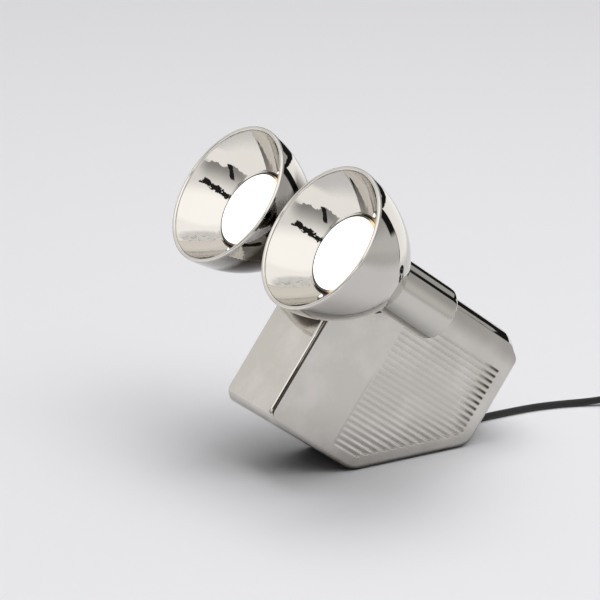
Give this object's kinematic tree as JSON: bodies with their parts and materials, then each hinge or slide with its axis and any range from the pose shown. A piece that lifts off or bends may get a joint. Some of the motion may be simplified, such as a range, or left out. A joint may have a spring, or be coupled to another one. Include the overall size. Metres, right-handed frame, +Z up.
{
  "type": "tabletop searchlight lamp",
  "caption": "Tabletop lamp with a mirror-bright wedge casing on a slanted foot and a tilting searchlight head at each side, with a cloth-covered mains cord.",
  "frame": {"origin": "middle of the foot pad's underside, on the table", "axes": "+Z up off the table; the beams point to -Y and 35.6 degrees upwards; +X is the left side for someone behind the lamp"},
  "size_m": [0.2948, 0.6282, 0.3003],
  "materials": {
    "silver_casing": "polished",
    "silver_head": "polished",
    "silver_hub": "satin",
    "zinc_steel": "satin",
    "iron": "matte",
    "brass": "satin",
    "pad_rubber": "matte",
    "gland_rubber": "matte",
    "fibre": "matte",
    "opal": "satin",
    "lamp_white": "satin",
    "holder_white": "satin",
    "block_white": "satin",
    "black_plastic": "satin",
    "cord_cloth": "matte",
    "lead_sleeve": "satin",
    "tie_black": "matte"
  },
  "bodies": {
    "casing": {"body_shell": "silver_casing", "base_plate": "zinc_steel", "base_screws": "zinc_steel", "ballast_screws": "zinc_steel", "sole_pad": "pad_rubber", "ballast": "iron", "inner_screws": "zinc_steel", "cord_clamp": "zinc_steel", "terminal_block": "block_white", "friction_washers": "fibre", "inner_leads": "lead_sleeve", "supply_lead": "cord_cloth", "cord_gland": "gland_rubber", "mains_cord": "cord_cloth", "cord_tail": "cord_cloth", "cord_coil": "cord_cloth", "cord_end": "cord_cloth", "coil_tie": "tie_black", "switch_base": "black_plastic", "switch_cover": "black_plastic", "switch_screws": "zinc_steel", "plug_body": "black_plastic", "plug_pins": "brass"},
    "left_head": {"left_bowl": "silver_head", "left_reflector": "silver_head", "left_lamp_diffuser": "opal", "left_lamp_body": "lamp_white", "left_lampholder": "holder_white", "left_holder_bracket": "zinc_steel", "left_holder_screws": "zinc_steel", "left_head_nipple": "zinc_steel", "left_nuts": "zinc_steel", "left_arm_plug": "zinc_steel", "left_arm_tube": "silver_head", "left_arm_saddle": "zinc_steel", "left_pivot_hub": "silver_hub", "left_pivot_tube": "zinc_steel", "left_disc_spring": "zinc_steel", "left_stop_washer": "zinc_steel", "left_lead": "lead_sleeve"},
    "right_head": {"right_bowl": "silver_head", "right_reflector": "silver_head", "right_lamp_diffuser": "opal", "right_lamp_body": "lamp_white", "right_lampholder": "holder_white", "right_holder_bracket": "zinc_steel", "right_holder_screws": "zinc_steel", "right_head_nipple": "zinc_steel", "right_nuts": "zinc_steel", "right_arm_plug": "zinc_steel", "right_arm_tube": "silver_head", "right_arm_saddle": "zinc_steel", "right_pivot_hub": "silver_hub", "right_pivot_tube": "zinc_steel", "right_disc_spring": "zinc_steel", "right_stop_washer": "zinc_steel", "right_lead": "lead_sleeve"},
    "switch_rocker": {"switch_rocker": "black_plastic"}
  },
  "joints": [
    {"name": "left_head_tilt", "type": "hinge", "parent": "casing", "child": "left_head", "pos_m": [0.045, -0.02645, 0.16811], "axis": [-1, 0, 0], "range_deg": [-18, 60]},
    {"name": "right_head_tilt", "type": "hinge", "parent": "casing", "child": "right_head", "pos_m": [-0.045, -0.02645, 0.16811], "axis": [-1, 0, 0], "range_deg": [-18, 60]},
    {"name": "switch_rocker", "type": "hinge", "parent": "casing", "child": "switch_rocker", "pos_m": [0.03437, 0.29576, 0.011], "axis": [-0.8949, 0.4462, 0], "range_deg": [0, 16]}
  ]
}
